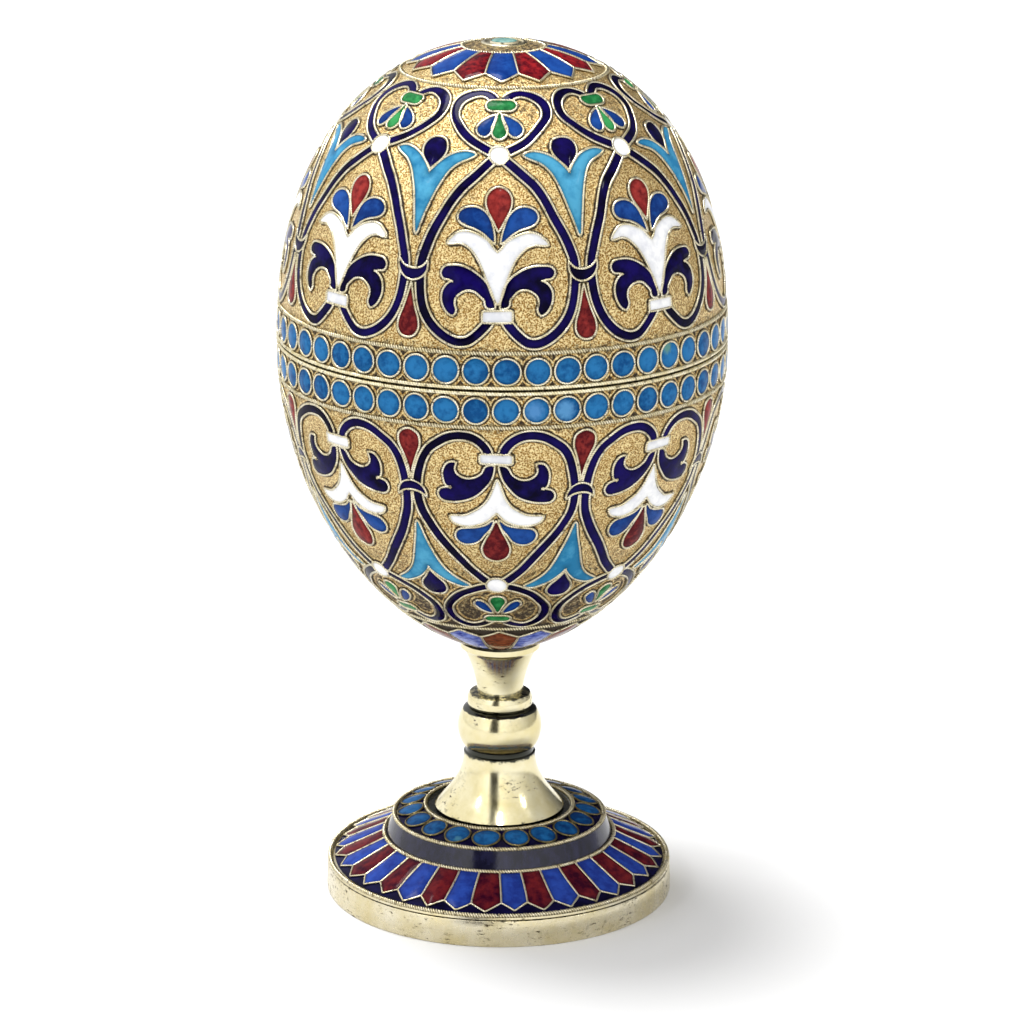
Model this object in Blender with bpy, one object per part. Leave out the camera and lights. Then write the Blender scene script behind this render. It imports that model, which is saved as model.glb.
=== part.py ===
"""Enamelled egg in silver gilt: a lift-off lid and a bowl, on a turned stem and a stepped round foot.

Metres, +Z up. The origin is the centre of the foot's underside, so the egg stands on z = 0.
"""
import math

import bmesh
import bpy

MM = 0.001

# The foot: a thin stepped shell that stands on the lower edge of its rim.
FOOT_RADIUS = 21.96 * MM
FOOT_RIM_HEIGHT = 4.02 * MM
FOOT_CONE_RISE = 3.32 * MM
FOOT_STEP_HEIGHT = 2.44 * MM
FOOT_STEP_RADIUS = 13.76 * MM
FOOT_STEP_FLARE = 0.86 * MM
FOOT_TOP_RISE = 1.17 * MM
FOOT_WALL = 1.0 * MM
RIM_TAPER = 0.1 * MM
RIM_BEVEL = 0.2 * MM
RIM_GROOVE = 0.25 * MM
SEAT_CLEARANCE = 0.9 * MM
SEAT_DEPTH = 0.4 * MM

# The stem: a solid turning. Its sections stack upwards from the seat in the foot.
FLARE_HEIGHT = 7.2 * MM
FLARE_RADIUS = 8.2 * MM
SHANK_RADIUS = 4.55 * MM
GROOVE_HEIGHT = 0.9 * MM
GROOVE_DEPTH = 0.25 * MM
KNOP_HEIGHT = 4.9 * MM
KNOP_RADIUS = 5.33 * MM
COLLAR_HEIGHT = 2.15 * MM
COLLAR_RADIUS = 4.12 * MM
CREASE_DEPTH = 0.3 * MM
NECK_RADIUS = 2.9 * MM
CUP_HEIGHT = 6.7 * MM
CUP_RADIUS = 5.05 * MM

# The egg: its outline over the relief, from its widest level up to the crown and down to the tip.
EGG_RADIUS = 27.88 * MM
EGG_RISE = 38.12 * MM
EGG_DROP = 38.93 * MM
RISE_POWERS = (2.392, 2.081)
DROP_POWERS = (1.873, 1.787)
RELIEF = 0.35 * MM
EGG_WALL = 0.9 * MM

# The joint between lid and bowl.
SEAM_ABOVE_WAIST = 1.5 * MM
SEAM_GAP = 0.3 * MM
LIP_HEIGHT = 3.0 * MM
LIP_DEPTH = 2.0 * MM
LIP_WALL = 0.6 * MM
LIP_CLEARANCE = 0.3 * MM

# Twisted ropes of wire that edge the bands, and the ornaments of the crown.
ROPE_RADIUS = 0.3 * MM
BAND_WIDTH = 4.3 * MM
CROWN_RADIUS = 12.68 * MM
CROWN_INNER_RADIUS = 5.1 * MM
COLLET_RADIUS = 2.81 * MM
BUTTON_RADIUS = 1.62 * MM
BUTTON_HEIGHT = 0.5 * MM
ROSETTE_RADIUS = 13.78 * MM

# Pieces that touch keep this much air between them.
TOUCH_GAP = 0.3 * MM

SEGMENTS = 40
SHARP_ANGLE = math.radians(28)


def clear_scene():
    """Remove the objects that a new file starts with."""
    for old in list(bpy.data.objects):
        bpy.data.objects.remove(old, do_unlink=True)


def finish(name, colour, metallic, roughness):
    """A plain material of one colour."""
    material = bpy.data.materials.new(name)
    material.use_nodes = True
    shader = material.node_tree.nodes["Principled BSDF"]
    shader.inputs["Base Color"].default_value = (*colour, 1.0)
    shader.inputs["Metallic"].default_value = metallic
    shader.inputs["Roughness"].default_value = roughness
    return material


def turned(name, profile, material):
    """Turn a profile of (radius, height) points, from axis to axis, into one closed solid."""
    shape = bmesh.new()
    points = [shape.verts.new((radius, 0.0, height)) for radius, height in profile]
    edges = [shape.edges.new(pair) for pair in zip(points, points[1:])]
    bmesh.ops.spin(
        shape,
        geom=points + edges,
        cent=(0.0, 0.0, 0.0),
        axis=(0.0, 0.0, 1.0),
        angle=math.tau,
        steps=SEGMENTS,
        use_duplicate=False,
    )
    bmesh.ops.remove_doubles(shape, verts=shape.verts, dist=0.002 * MM)
    bmesh.ops.recalc_face_normals(shape, faces=shape.faces)
    mesh = bpy.data.meshes.new(name)
    shape.to_mesh(mesh)
    shape.free()
    mesh.materials.append(material)
    mesh.shade_smooth()
    mesh.set_sharp_from_angle(angle=SHARP_ANGLE)
    piece = bpy.data.objects.new(name, mesh)
    bpy.context.collection.objects.link(piece)
    return piece


# The seat and the heights that the sizes above lead to, from the floor up.
SEAT_RADIUS = FLARE_RADIUS + SEAT_CLEARANCE
FOOT_CONE_TOP = FOOT_RIM_HEIGHT + FOOT_CONE_RISE
FOOT_STEP_TOP = FOOT_CONE_TOP + FOOT_STEP_HEIGHT
FOOT_TOP = FOOT_STEP_TOP + FOOT_TOP_RISE
SEAT_HEIGHT = FOOT_TOP - SEAT_DEPTH
STEM_BASE = SEAT_HEIGHT + TOUCH_GAP
GROOVE_BASE = STEM_BASE + FLARE_HEIGHT
KNOP_BASE = GROOVE_BASE + GROOVE_HEIGHT
COLLAR_BASE = KNOP_BASE + KNOP_HEIGHT
CUP_BASE = COLLAR_BASE + COLLAR_HEIGHT
STEM_TOP = CUP_BASE + CUP_HEIGHT


def depth_below_waist(radius):
    """How far below the widest level the egg's outline has shrunk to this radius."""
    power, root = DROP_POWERS
    return EGG_DROP * (1.0 - (radius / EGG_RADIUS) ** root) ** (1.0 / power)


WAIST_HEIGHT = STEM_TOP + TOUCH_GAP + depth_below_waist(CUP_RADIUS)
SEAM_HEIGHT = WAIST_HEIGHT + SEAM_ABOVE_WAIST


def on_outline(turn):
    """A point of the egg's outline, at an angle from -90 degrees, the tip, to 90, the crown."""
    reach, (power, root) = (EGG_RISE, RISE_POWERS) if turn > 0.0 else (EGG_DROP, DROP_POWERS)
    share = min(abs(math.sin(turn)), 1.0)
    radius = EGG_RADIUS * (1.0 - share**power) ** (1.0 / root)
    return radius, WAIST_HEIGHT + math.copysign(reach * share, turn)


def egg_point(turn, inset=0.0):
    """The outline's point, moved into the egg by the inset, square to the outline."""
    radius, height = on_outline(turn)
    if abs(turn) > math.radians(89.9):
        return 0.0, height - math.copysign(inset, turn)
    small = math.radians(0.05)
    low = on_outline(turn - small)
    high = on_outline(turn + small)
    across = high[0] - low[0]
    up = high[1] - low[1]
    length = math.hypot(across, up)
    return radius - inset * up / length, height + inset * across / length


def turn_at_height(height):
    """The angle of the outline's point at this height."""
    rise = height - WAIST_HEIGHT
    reach = EGG_RISE if rise >= 0.0 else EGG_DROP
    return math.asin(max(-1.0, min(1.0, rise / reach)))


def turn_at_radius(radius, upper):
    """The angle of the outline's point at this radius, in the upper or the lower half."""
    power, root = RISE_POWERS if upper else DROP_POWERS
    share = (1.0 - (radius / EGG_RADIUS) ** root) ** (1.0 / power)
    return math.asin(share) if upper else -math.asin(share)


def sweep(start, end, count, inset):
    """Points of the section between two angles, ends included."""
    return [egg_point(start + (end - start) * k / (count - 1), inset) for k in range(count)]


def rope(turn):
    """A ridge as proud as the relief, as wide as a rope of wire: three points, going up."""
    small = math.radians(0.5)
    below = egg_point(turn - small)
    above = egg_point(turn + small)
    half = 2 * small * ROPE_RADIUS / math.dist(below, above)
    return [egg_point(turn - half, RELIEF), egg_point(turn), egg_point(turn + half, RELIEF)]


def make_lid(material):
    """The upper half: a shell, open below, with its ropes, crown rings and enamel button."""
    rim = SEAM_HEIGHT + SEAM_GAP / 2
    rim_turn = turn_at_height(rim)
    band_turn = turn_at_height(rim + BAND_WIDTH)
    crown_turn = turn_at_radius(CROWN_RADIUS, upper=True)
    inner_turn = turn_at_radius(CROWN_INNER_RADIUS, upper=True)
    ground_top = egg_point(math.pi / 2, RELIEF)[1]
    collet_top = ground_top + RELIEF / 2
    button_top = ground_top + BUTTON_HEIGHT
    step = math.radians(2.0)
    profile = sweep(math.pi / 2, rim_turn, 10, RELIEF + EGG_WALL)
    profile[-1] = (profile[-1][0], rim)
    profile += [(egg_point(rim_turn, RELIEF)[0], rim)]
    profile += rope(turn_at_height(rim + ROPE_RADIUS))[1:]
    profile += rope(band_turn)
    profile += sweep(band_turn + 3 * step, crown_turn - 2 * step, 8, RELIEF)
    profile += rope(crown_turn)
    profile += sweep(crown_turn + step, inner_turn - step, 2, RELIEF)
    profile += rope(inner_turn)
    profile += [(COLLET_RADIUS, ground_top), (COLLET_RADIUS, collet_top)]
    profile += [(BUTTON_RADIUS, collet_top), (BUTTON_RADIUS, button_top), (0.0, button_top)]
    return turned("lid", profile, material)


def make_bowl(material):
    """The lower half: a cup-shaped shell with a locating lip that stands up inside the lid."""
    rim = SEAM_HEIGHT - SEAM_GAP / 2
    lip_top = SEAM_HEIGHT + LIP_HEIGHT
    lip_root = rim - LIP_DEPTH
    rosette_turn = turn_at_radius(ROSETTE_RADIUS, upper=False)
    band_turn = turn_at_height(rim - BAND_WIDTH)
    inside = RELIEF + EGG_WALL
    lip_outside = egg_point(turn_at_height(lip_top), inside)[0] - LIP_CLEARANCE
    lip_inside = lip_outside - LIP_WALL
    step = math.radians(2.0)
    profile = sweep(-math.pi / 2, rosette_turn - step, 5, RELIEF)
    profile += rope(rosette_turn)
    profile += sweep(rosette_turn + 2 * step, band_turn - 3 * step, 8, RELIEF)
    profile += rope(band_turn)
    profile += rope(turn_at_height(rim - ROPE_RADIUS))[:2]
    profile += [(egg_point(turn_at_height(rim), RELIEF)[0], rim), (lip_outside, rim)]
    profile += [(lip_outside, lip_top), (lip_inside, lip_top), (lip_inside, lip_root)]
    profile += sweep(turn_at_height(lip_root) - step, -math.pi / 2, 9, inside)
    return turned("bowl", profile, material)


def make_stem(material):
    """The stem: trumpet foot, groove, round knop, collar, and a neck that opens into a cup."""
    profile = [(0.0, STEM_BASE)]
    for k in range(8):
        share = k / 7
        spread = 1.0 - math.sin(share * math.pi / 2)
        radius = SHANK_RADIUS + (FLARE_RADIUS - SHANK_RADIUS) * spread
        profile.append((radius, STEM_BASE + FLARE_HEIGHT * share))
    profile.append((SHANK_RADIUS - GROOVE_DEPTH, GROOVE_BASE + GROOVE_HEIGHT / 2))
    for k in range(7):
        share = k / 6
        spread = math.sin(math.pi * share) ** 0.8
        radius = SHANK_RADIUS + (KNOP_RADIUS - SHANK_RADIUS) * spread
        profile.append((radius, KNOP_BASE + KNOP_HEIGHT * share))
    crease = COLLAR_RADIUS - CREASE_DEPTH
    profile.append((crease, COLLAR_BASE + 0.1 * COLLAR_HEIGHT))
    profile.append((COLLAR_RADIUS, COLLAR_BASE + 0.25 * COLLAR_HEIGHT))
    profile.append((COLLAR_RADIUS, COLLAR_BASE + 0.7 * COLLAR_HEIGHT))
    profile.append((crease, COLLAR_BASE + 0.93 * COLLAR_HEIGHT))
    for k in range(7):
        share = k / 6
        radius = NECK_RADIUS + (CUP_RADIUS - NECK_RADIUS) * share**1.6
        profile.append((radius, CUP_BASE + CUP_HEIGHT * share))
    # The cup is dished to the egg's outline.
    for share in (0.6, 0.0):
        radius, height = on_outline(turn_at_radius(CUP_RADIUS * share, upper=False))
        profile.append((radius, height - TOUCH_GAP))
    return turned("stem", profile, material)


def make_foot(material):
    """The foot: rim, petal cone, upright step, and a top that rises slightly to the stem's seat."""
    bead = ROPE_RADIUS
    cone_foot = FOOT_RADIUS - RIM_TAPER
    cone_top = FOOT_STEP_RADIUS + FOOT_STEP_FLARE
    outer = [
        (FOOT_RADIUS - RIM_BEVEL, 0.0),
        (FOOT_RADIUS, RIM_BEVEL),
        (cone_foot, FOOT_RIM_HEIGHT - 2 * bead),
        (cone_foot - RIM_GROOVE, FOOT_RIM_HEIGHT - 1.5 * bead),
        (cone_foot, FOOT_RIM_HEIGHT - bead),
        (cone_foot - bead, FOOT_RIM_HEIGHT + bead),
        (cone_foot - 3 * bead, FOOT_RIM_HEIGHT),
        (cone_top + bead, FOOT_CONE_TOP - 1.5 * bead),
        (cone_top - bead / 2, FOOT_CONE_TOP),
        (cone_top - 2 * bead, FOOT_CONE_TOP),
        (FOOT_STEP_RADIUS - bead, FOOT_STEP_TOP - 1.5 * bead),
        (FOOT_STEP_RADIUS, FOOT_STEP_TOP - bead / 2),
        (FOOT_STEP_RADIUS - bead, FOOT_STEP_TOP + bead / 2),
        (FOOT_STEP_RADIUS - 2.5 * bead, FOOT_STEP_TOP - bead / 2),
        (SEAT_RADIUS + 2 * bead, FOOT_TOP - bead),
        (SEAT_RADIUS + bead, FOOT_TOP + bead / 2),
        (SEAT_RADIUS, SEAT_HEIGHT),
        (0.0, SEAT_HEIGHT),
    ]
    # The underside follows the outside, one wall away from the cone, the step and the seat.
    slope = math.atan2(FOOT_CONE_RISE, cone_foot - cone_top)
    cone_drop = FOOT_WALL / math.cos(slope)
    rim_inside = cone_foot - FOOT_WALL
    step_inside = FOOT_STEP_RADIUS - FOOT_WALL
    rim_ceiling = FOOT_RIM_HEIGHT - cone_drop + (cone_foot - rim_inside) * math.tan(slope)
    cone_ceiling = FOOT_CONE_TOP - cone_drop + (cone_top - step_inside) * math.tan(slope)
    seat_ceiling = SEAT_HEIGHT - FOOT_WALL
    inner = [
        (0.0, seat_ceiling),
        (SEAT_RADIUS, seat_ceiling),
        (step_inside - FOOT_WALL / 2, FOOT_STEP_TOP - FOOT_WALL),
        (step_inside, FOOT_STEP_TOP - 1.5 * FOOT_WALL),
        (step_inside, cone_ceiling),
        (rim_inside, rim_ceiling),
        (rim_inside, 0.0),
    ]
    return turned("foot", inner + outer, material)


clear_scene()
make_foot(finish("enamelled gilt foot", (0.10, 0.09, 0.22), 0.3, 0.3))
make_stem(finish("polished silver gilt", (0.86, 0.80, 0.55), 1.0, 0.18))
make_bowl(finish("filigree gilt of the bowl", (0.62, 0.48, 0.24), 0.9, 0.35))
make_lid(finish("filigree gilt of the lid", (0.66, 0.52, 0.27), 0.9, 0.35))
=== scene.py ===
import math

import bpy
import numpy as np
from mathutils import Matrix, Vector
from mathutils.geometry import delaunay_2d_cdt


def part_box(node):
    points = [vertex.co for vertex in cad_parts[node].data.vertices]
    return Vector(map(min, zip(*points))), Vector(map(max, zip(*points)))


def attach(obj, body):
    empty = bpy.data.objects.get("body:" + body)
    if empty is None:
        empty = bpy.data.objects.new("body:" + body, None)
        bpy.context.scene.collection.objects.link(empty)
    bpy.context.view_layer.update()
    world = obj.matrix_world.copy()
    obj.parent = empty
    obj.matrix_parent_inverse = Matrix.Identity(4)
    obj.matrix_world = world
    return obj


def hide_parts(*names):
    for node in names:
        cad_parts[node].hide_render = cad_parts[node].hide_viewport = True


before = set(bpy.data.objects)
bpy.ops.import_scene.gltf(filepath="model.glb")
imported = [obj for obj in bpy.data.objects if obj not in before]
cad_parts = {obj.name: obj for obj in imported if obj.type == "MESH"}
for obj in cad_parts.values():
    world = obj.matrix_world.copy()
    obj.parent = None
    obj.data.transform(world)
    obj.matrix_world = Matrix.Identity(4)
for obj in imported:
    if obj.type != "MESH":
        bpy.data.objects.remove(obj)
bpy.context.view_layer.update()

# The foot's shell, which everything stands on: a stepped dish of silver, raised and turned thin, then
# gilded. It is hollow and plain beneath. Its upright rim is polished, and has fine scratches, pits and
# rubbed spots.
MM = 0.001
FOOT_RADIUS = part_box("foot")[1].x / MM
FOOT_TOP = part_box("foot")[1].z / MM
RIM_HEIGHT = 4.02
RIM_TAPER = 0.1
RIM_GROOVE = 0.22
RIM_ROUNDING = 0.2
CONE_FOOT = (20.96, 4.02)
CONE_HEAD = (14.92, 6.89)
STEP_FOOT = (14.32, 7.2)
STEP_HEAD = (13.5, 9.4)
TOP_EDGE = (13.01, 9.63)
TOP_INNER = (9.7, 10.65)
SEAT_RADIUS = 9.1
SEAT_HEIGHT = 10.55
FOOT_WALL = 1.0
UNDER_GROUND = 0.12
SEGMENTS = 160


def srgb(code):
    """A hex colour as the linear values that a shader takes."""
    values = [int(code[k : k + 2], 16) / 255 for k in (1, 3, 5)]
    return [v / 12.92 if v <= 0.04045 else ((v + 0.055) / 1.055) ** 2.4 for v in values] + [1.0]


def feed(node, sockets):
    """Give a node's inputs their values, or links from other nodes' outputs."""
    for socket, value in sockets.items():
        if isinstance(value, bpy.types.NodeSocket):
            node.id_data.links.new(value, node.inputs[socket])
        else:
            node.inputs[socket].default_value = value


def add(tree, kind, sockets=None, **settings):
    """Add a node with its settings and its inputs."""
    made = tree.nodes.new(kind)
    for name, value in settings.items():
        setattr(made, name, value)
    feed(made, sockets or {})
    return made


def new_material(name):
    """A material with a bare Principled shader, and its node tree, shader and object coordinates."""
    material = bpy.data.materials.new(name)
    material.use_nodes = True
    tree = material.node_tree
    shader = tree.nodes["Principled BSDF"]
    place = add(tree, "ShaderNodeTexCoord").outputs["Object"]
    return material, tree, shader, place


def grain(place, size, detail=2.0, roughness=0.5):
    """Noise whose lumps are about size mm across."""
    scale = 1.0 / (size * MM)
    sockets = {"Vector": place, "Scale": scale, "Detail": detail, "Roughness": roughness}
    return add(place.id_data, "ShaderNodeTexNoise", sockets).outputs[0]


def between(value, low, high, start=0.0, end=1.0):
    """A value taken from the range low..high to start..end, and held there."""
    sockets = {0: value, 1: low, 2: high, 3: start, 4: end}
    return add(value.id_data, "ShaderNodeMapRange", sockets, clamp=True).outputs[0]


def calc(operation, *values):
    """The result of a Math node, in the tree of the first value's node."""
    return add(values[0].id_data, "ShaderNodeMath", dict(enumerate(values)), operation=operation).outputs[0]


def times(first, second):
    return calc("MULTIPLY", first, second)


def blend(share, first, second):
    """The first colour where share is 0, the second where it is 1."""
    sockets = {0: share, 6: first, 7: second}
    return add(share.id_data, "ShaderNodeMix", sockets, data_type="RGBA").outputs[2]


def mark(tree, name):
    """A value that the mesh carries, such as how much dirt sits there."""
    return add(tree, "ShaderNodeAttribute", attribute_name=name).outputs["Fac"]


def drawn_out(place, factor):
    """Coordinates in which noise is shorter up Z by a factor, as marks that run round a turned piece
    are."""
    return add(place.id_data, "ShaderNodeMapping", {"Vector": place, "Scale": (1.0, 1.0, factor)}).outputs[0]


def bumped(height, strength, depth):
    """A normal for unevenness that is depth mm deep at full strength."""
    sockets = {"Height": height, "Strength": strength, "Distance": depth * MM}
    return add(height.id_data, "ShaderNodeBump", sockets).outputs[0]


def polished_gilt(name, gold, rubbed_gold, roughness, worn=0.5):
    """Silver gilt, turned and burnished: pale gold, rubbed towards silver, with pits, and dark where the mesh
    marks dirt and painted shade in its grooves and creases. worn says how much of it is pitted."""
    material, tree, shader, place = new_material(name)
    rubbed = between(grain(place, 5.0, 4.0, 0.6), 0.35, 0.65)
    metal = blend(rubbed, srgb(gold), srgb(rubbed_gold))
    patches = between(grain(place, 4.5, 2.0), 0.62 - 0.2 * worn, 0.74 - 0.2 * worn)
    specks = grain(drawn_out(place, 2.4), 0.9, 5.0, 0.75)
    pits = times(between(specks, 0.56, 0.63), patches)
    spotted = blend(pits, metal, srgb("#3A3020"))
    ragged = times(grain(place, 0.8, 5.0, 0.75), 0.7)
    dirt = between(calc("ADD", mark(tree, "dirt"), ragged), 0.74, 0.86)
    smears = between(grain(place, 1.2, 5.0, 0.7), 0.3, 0.7, roughness, roughness + 0.14)
    scratches = grain(drawn_out(place, 7.0), 1.6, 6.0, 0.75)
    feed(shader, {
        "Base Color": blend(dirt, spotted, srgb("#3A3B35")),
        "Metallic": 1.0,
        "Roughness": calc("ADD", smears, times(pits, 0.4)),
        "Normal": bumped(scratches, 0.35, 0.02),
    })
    return material


def put(name, data):
    """A new object in the scene, at the origin."""
    made = bpy.data.objects.new(name, data)
    bpy.context.scene.collection.objects.link(made)
    return made


def piece(name, shape, material, replaced=()):
    """One finished piece from its points, faces and marks, riding on the egg's one body."""
    points, faces, marks = shape
    mesh = bpy.data.meshes.new(name)
    mesh.from_pydata(np.asarray(points).tolist(), [], [list(face) for face in faces])
    mesh.materials.append(material)
    for key, values in marks.items():
        mesh.attributes.new(key, "FLOAT", "POINT").data.foreach_set("value", np.asarray(values, np.float32))
    mesh.shade_smooth()
    mesh.set_sharp_from_angle(angle=math.radians(40))
    made = put(name, mesh)
    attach(made, "root")
    if replaced:
        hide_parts(*replaced)


def turned(profile, segments, **marks):
    """A closed solid: a profile of (radius, height) in mm, from axis to axis, turned round Z."""
    angles = np.arange(segments) * math.tau / segments
    points, rows, marked = [], [], {key: [] for key in marks}
    for index, (radius, height) in enumerate(profile):
        count = segments if radius > 1e-6 else 1
        rows.append(len(points) + np.arange(segments) % count)
        for angle in angles[:count]:
            points.append((radius * math.sin(angle) * MM, -radius * math.cos(angle) * MM, height * MM))
        for key, values in marks.items():
            marked[key] += [values[index]] * count
    faces = []
    for low, high in zip(rows, rows[1:]):
        for k in range(segments):
            n = (k + 1) % segments
            corners = [int(low[k]), int(low[n]), int(high[n]), int(high[k])]
            faces.append(list(dict.fromkeys(corners)))
    return points, faces, marked


RIM_TOP_RADIUS = FOOT_RADIUS - RIM_TAPER
foot_profile = [
    (0.0, SEAT_HEIGHT - FOOT_WALL),
    (SEAT_RADIUS, SEAT_HEIGHT - FOOT_WALL),
    (STEP_HEAD[0] - 1.4 * FOOT_WALL, STEP_HEAD[1] - 0.7 * FOOT_WALL),
    (STEP_HEAD[0] - FOOT_WALL, STEP_HEAD[1] - 1.2 * FOOT_WALL),
    (STEP_FOOT[0] - FOOT_WALL, CONE_HEAD[1] - 0.8 * FOOT_WALL),
    (RIM_TOP_RADIUS - FOOT_WALL, CONE_FOOT[1] - 1.1 * FOOT_WALL),
    (RIM_TOP_RADIUS - FOOT_WALL, 0.0),
    (FOOT_RADIUS - RIM_ROUNDING, 0.0),
    (FOOT_RADIUS - RIM_ROUNDING / 4, RIM_ROUNDING / 4),
    (FOOT_RADIUS, RIM_ROUNDING),
    (FOOT_RADIUS - RIM_TAPER / 2, RIM_HEIGHT / 2),
    (RIM_TOP_RADIUS, RIM_HEIGHT - 0.75),
    (RIM_TOP_RADIUS - 0.04, RIM_HEIGHT - 0.68),
    (RIM_TOP_RADIUS - RIM_GROOVE, RIM_HEIGHT - 0.58),
    (RIM_TOP_RADIUS - 0.04, RIM_HEIGHT - 0.48),
    (RIM_TOP_RADIUS, RIM_HEIGHT - 0.4),
    (RIM_TOP_RADIUS - 0.1, RIM_HEIGHT - 0.2),
    (CONE_FOOT[0], CONE_FOOT[1] - UNDER_GROUND),
    (CONE_HEAD[0], CONE_HEAD[1] - UNDER_GROUND),
    (STEP_FOOT[0] - UNDER_GROUND, STEP_FOOT[1]),
    (STEP_HEAD[0] - UNDER_GROUND, STEP_HEAD[1]),
    (TOP_EDGE[0], TOP_EDGE[1] - UNDER_GROUND),
    (TOP_INNER[0], TOP_INNER[1] - UNDER_GROUND),
    (SEAT_RADIUS + 0.1, TOP_INNER[1] - UNDER_GROUND),
    (SEAT_RADIUS, SEAT_HEIGHT + 0.1),
    (SEAT_RADIUS - 0.1, SEAT_HEIGHT),
    (0.0, SEAT_HEIGHT),
]
# The rim's groove and the seat under the stem are painted darker.
foot_dirt = [0.0] * 12 + [0.3, 0.75, 0.3] + [0.0] * 8 + [0.9] * 4
gilt_rim = polished_gilt("silver gilt, polished, of the foot", "#CBBE94", "#DCD4BC", 0.2, 0.8)
piece("foot_shell", turned(foot_profile, SEGMENTS, dirt=foot_dirt), gilt_rim, ["foot"])


# The enamel ground of the foot: navy glass, fired flush over the cone, the upright step and the top. The
# cone and the top are nearly black and glossy. The step is greyer, as it mirrors the room.
def enamel(
    name, dark, light, lump, roughness=0.12, streaks=1.0, depth=0.6, gloss=0.035, unlike=0.9, spots=()
):
    """Fired glass: two tones mixed by lumps of a size in mm, with painted shade that darkens it towards its
    wires, as far as depth at the wall. unlike says how far one cell's shade may be from the next. spots are
    chips and stains: where each is and how large, in mm, and its colour."""
    material, tree, shader, place = new_material(name)
    lumps = between(grain(drawn_out(place, streaks), lump, 4.0, 0.6), 0.34, 0.66)
    shaded = calc("MULTIPLY_ADD", calc("ADD", mark(tree, "shade"), -0.5), unlike, lumps)
    toned = blend(between(shaded, 0.0, 1.0), srgb(dark), srgb(light))
    # Painted shade: the glass is darkened towards its wires, where the wall mark is high.
    painted_wall_shade = between(mark(tree, "wall"), 0.0, 1.0, 0.0, depth)
    edged = blend(painted_wall_shade, toned, [0.35 * c for c in srgb(dark)[:3]] + [1.0])
    for centre, size, colour in spots:
        centre = [c * MM for c in centre]
        away = add(tree, "ShaderNodeVectorMath", {0: place, 1: centre}, operation="DISTANCE").outputs["Value"]
        ragged = calc("MULTIPLY_ADD", grain(place, 0.4 * size, 3.0, 0.6), size * MM, away)
        edged = blend(between(ragged, 1.6 * size * MM, 0.9 * size * MM), edged, srgb(colour))
    feed(shader, {
        "Base Color": edged,
        "Roughness": roughness,
        "IOR": 1.52,
        "Specular IOR Level": gloss,
        "Normal": bumped(grain(place, 1.3, 2.0), 0.4, 0.05),
    })
    return material


class Skin:
    """A turned surface that work is laid on: angles run round Z from the front, lengths in mm up its
    profile."""

    def __init__(self, profile):
        self.radius, self.height = np.array(profile, float).T
        steps = np.hypot(np.diff(self.radius), np.diff(self.height))
        self.along = np.concatenate([[0.0], np.cumsum(steps)])
        self.lean = np.gradient(self.radius, self.along)
        self.climb = np.gradient(self.height, self.along)

    def radius_at(self, along):
        return np.interp(along, self.along, self.radius)

    def at(self, angle, along, lift=0.0):
        """Points in metres, lift mm proud of the surface."""
        radius = self.radius_at(along) + lift * np.interp(along, self.along, self.climb)
        height = np.interp(along, self.along, self.height) - lift * np.interp(along, self.along, self.lean)
        return np.stack([radius * np.sin(angle), -radius * np.cos(angle), height], axis=-1) * MM

    def sheet(self, start, end, rows, segments, lift=0.0, **marks):
        """A band of the surface between two lengths, closed round Z."""
        angles = np.arange(segments) * math.tau / segments
        along = np.repeat(np.linspace(start, end, rows), segments)
        points = self.at(np.tile(angles, rows), along, lift)
        k = np.arange(segments)
        n = (k + 1) % segments
        low = np.arange(rows - 1)[:, None] * segments
        high = low + segments
        faces = np.stack([low + k, low + n, high + n, high + k], axis=-1).reshape(-1, 4)
        return points, faces, {key: np.full(len(points), value) for key, value in marks.items()}


def joined(shapes):
    """Several shapes as one, with the same marks."""
    points, faces, marks, count = [], [], {key: [] for key in shapes[0][2]}, 0
    for some_points, some_faces, some_marks in shapes:
        points.append(np.asarray(some_points))
        faces.append(np.asarray(some_faces) + count)
        for key in marks:
            marks[key].append(np.asarray(some_marks[key]))
        count += len(some_points)
    return np.vstack(points), np.vstack(faces), {key: np.concatenate(marks[key]) for key in marks}


cone = Skin([CONE_FOOT, CONE_HEAD])
step = Skin([STEP_FOOT, STEP_HEAD])
dial = Skin([TOP_EDGE, TOP_INNER])
navy = enamel("navy enamel of the foot", "#07051A", "#12103A", 2.5, roughness=0.09, streaks=4.0, depth=0.0)
navy_sheets = [
    skin.sheet(0.0, skin.along[-1], 5, SEGMENTS, 0.02, shade=0.4, wall=0.0) for skin in (cone, dial)
]
piece("foot_navy_enamel", joined(navy_sheets), navy)
grey_navy = enamel("navy enamel of the step", "#07061A", "#20203C", 1.2, 0.12, 0.35, depth=0.0, gloss=0.42)
step_sheet = step.sheet(0.0, step.along[-1], 5, SEGMENTS, 0.05, shade=0.4, wall=0.0)
piece("foot_step_enamel", step_sheet, grey_navy)


# The petals on the foot's cone: long cells of blue and deep red glass, turn about, pointed at the rim. Each
# lies between twisted wires that are soldered on edge. The glass lies a little below them and swells in the
# middle.
PETALS = 36
PETAL_AXIS = math.radians(5.6)
PETAL_TIP = 0.08
PETAL_SHOULDER = 1.4
RELIEF = 0.35
ENAMEL_BELOW_WIRE = 0.17
SWELL = 0.12
SWELL_REACH = 1.1
# WALL_REACH: how far from the wires the painted shade in the glass reaches, in mm.
WALL_REACH = 0.16
EDGE_RING = 0.24
UNDER_OUTLINE = 0.01
# Solder beside the wires: how far it reaches out, how dark its corner by the wire is painted with dirt and
# shade, how high it climbs them, and how far its toe dips under.
SEAM_WIDTH = 0.65
SEAM_DIRT_AND_SHADE = 0.78
SEAM_TOP = 0.1
SEAM_TOE = 0.02


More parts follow.
